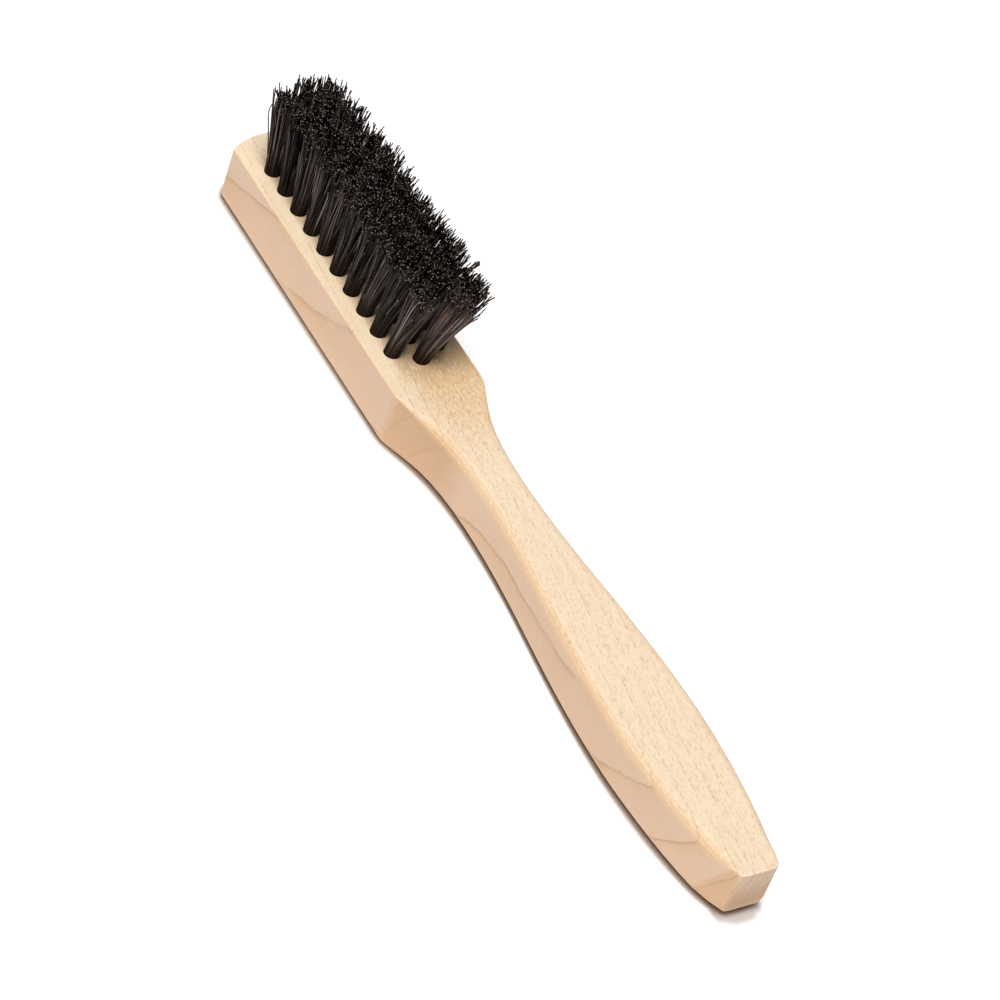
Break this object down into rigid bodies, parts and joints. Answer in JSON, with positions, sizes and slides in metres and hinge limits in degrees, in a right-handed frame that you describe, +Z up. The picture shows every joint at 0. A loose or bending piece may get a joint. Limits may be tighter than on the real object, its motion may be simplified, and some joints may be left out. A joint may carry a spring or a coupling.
{
  "type": "spotting brush",
  "caption": "Hand brush for working cleaner into stains: a narrow maple head with staggered rows of stiff dark bristle tufts, and a waisted handle in one piece with it.",
  "frame": {"origin": "on the flat back that the brush lies on, below the middle of its length and width", "axes": "+X along the length from the nose to the end of the handle, +Y across the width, +Z up from the back to the bristle tips"},
  "size_m": [0.2, 0.0204, 0.0328],
  "materials": {
    "maple": "satin, sanded and unvarnished",
    "bristle": "satin",
    "anchor_wire": "satin"
  },
  "bodies": {
    "root": {"block": "maple", "tuft_left_01": "bristle", "tuft_left_02": "bristle", "tuft_left_03": "bristle", "tuft_left_04": "bristle", "tuft_left_05": "bristle", "tuft_left_06": "bristle", "tuft_left_07": "bristle", "tuft_left_08": "bristle", "tuft_left_09": "bristle", "tuft_left_10": "bristle", "tuft_middle_01": "bristle", "tuft_middle_02": "bristle", "tuft_middle_03": "bristle", "tuft_middle_04": "bristle", "tuft_middle_05": "bristle", "tuft_middle_06": "bristle", "tuft_middle_07": "bristle", "tuft_middle_08": "bristle", "tuft_middle_09": "bristle", "tuft_middle_10": "bristle", "tuft_middle_11": "bristle", "tuft_right_01": "bristle", "tuft_right_02": "bristle", "tuft_right_03": "bristle", "tuft_right_04": "bristle", "tuft_right_05": "bristle", "tuft_right_06": "bristle", "tuft_right_07": "bristle", "tuft_right_08": "bristle", "tuft_right_09": "bristle", "tuft_right_10": "bristle", "anchor_left_01": "anchor_wire", "anchor_left_02": "anchor_wire", "anchor_left_03": "anchor_wire", "anchor_left_04": "anchor_wire", "anchor_left_05": "anchor_wire", "anchor_left_06": "anchor_wire", "anchor_left_07": "anchor_wire", "anchor_left_08": "anchor_wire", "anchor_left_09": "anchor_wire", "anchor_left_10": "anchor_wire", "anchor_right_01": "anchor_wire", "anchor_right_02": "anchor_wire", "anchor_right_03": "anchor_wire", "anchor_right_04": "anchor_wire", "anchor_right_05": "anchor_wire", "anchor_right_06": "anchor_wire", "anchor_right_07": "anchor_wire", "anchor_right_08": "anchor_wire", "anchor_right_09": "anchor_wire", "anchor_right_10": "anchor_wire"}
  },
  "joints": []
}
